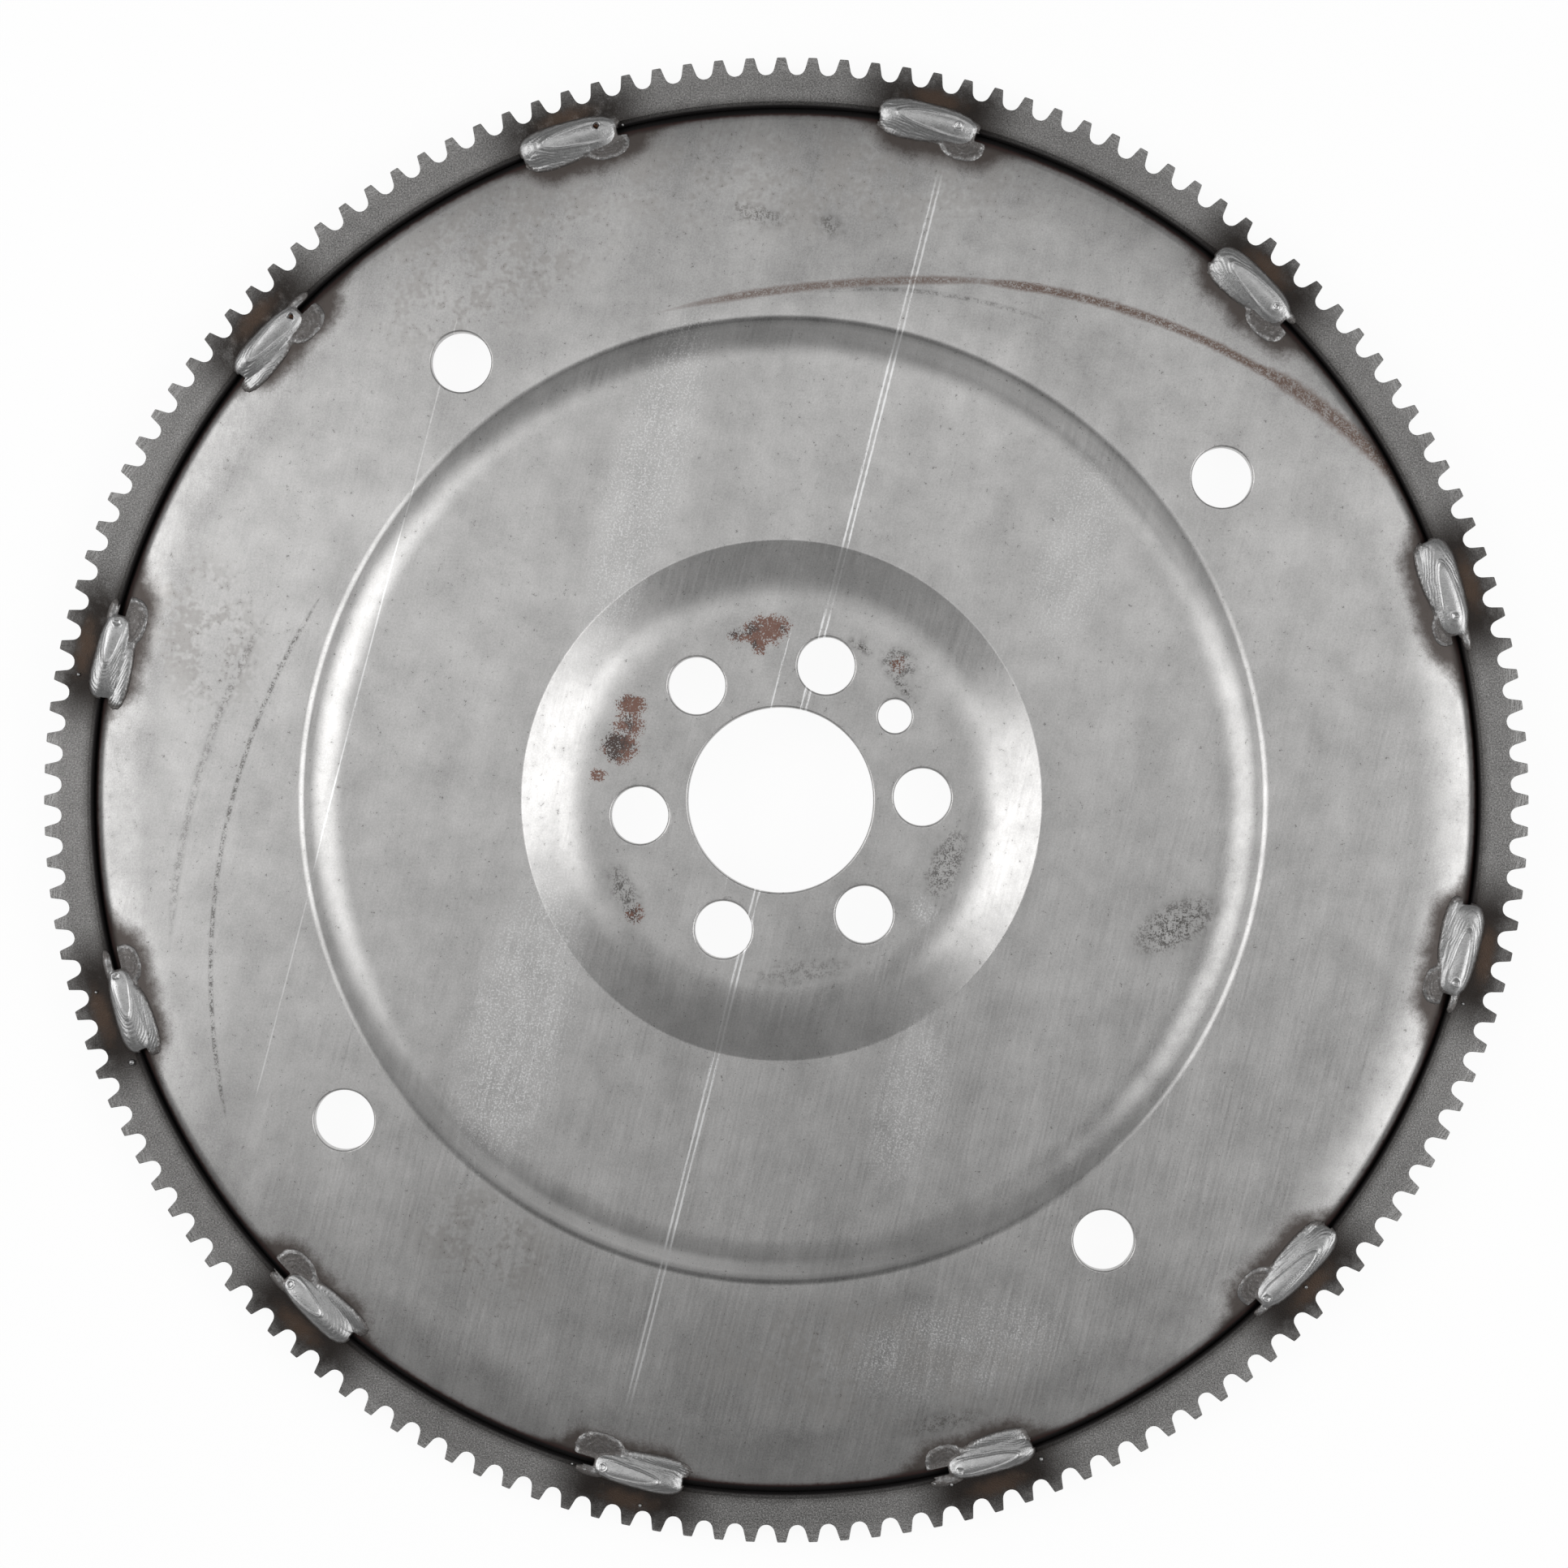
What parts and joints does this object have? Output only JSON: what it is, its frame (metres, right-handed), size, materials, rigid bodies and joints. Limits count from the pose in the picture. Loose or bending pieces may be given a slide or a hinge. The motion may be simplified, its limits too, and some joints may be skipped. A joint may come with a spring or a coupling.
{
  "type": "flexplate",
  "caption": "Pressed steel disc with a raised stepped hub, bolt and dowel holes, and a welded-on toothed starter ring; carries drive from a crankshaft to a torque converter.",
  "frame": {"origin": "on the crank axis, in the plane of the ring gear's lower face that the part rests on", "axes": "+Z along the crank axis, out of the raised hub; +X through the dowel hole; +Y completes a right-handed frame"},
  "size_m": [0.3174, 0.3174, 0.0179],
  "materials": {
    "plate_steel": "bare cold-rolled sheet steel, satin, with scratches, stains and small rust patches",
    "ring_steel": "dark heat-treated steel, grainy face, brighter brushed tooth tips",
    "weld_metal": "rippled grey weld metal with bright crests"
  },
  "bodies": {
    "root": {"plate": "plate_steel", "ring_gear": "ring_steel", "weld_01": "weld_metal", "weld_02": "weld_metal", "weld_03": "weld_metal", "weld_04": "weld_metal", "weld_05": "weld_metal", "weld_06": "weld_metal", "weld_07": "weld_metal", "weld_08": "weld_metal", "weld_09": "weld_metal", "weld_10": "weld_metal", "weld_11": "weld_metal", "weld_12": "weld_metal"}
  },
  "joints": []
}
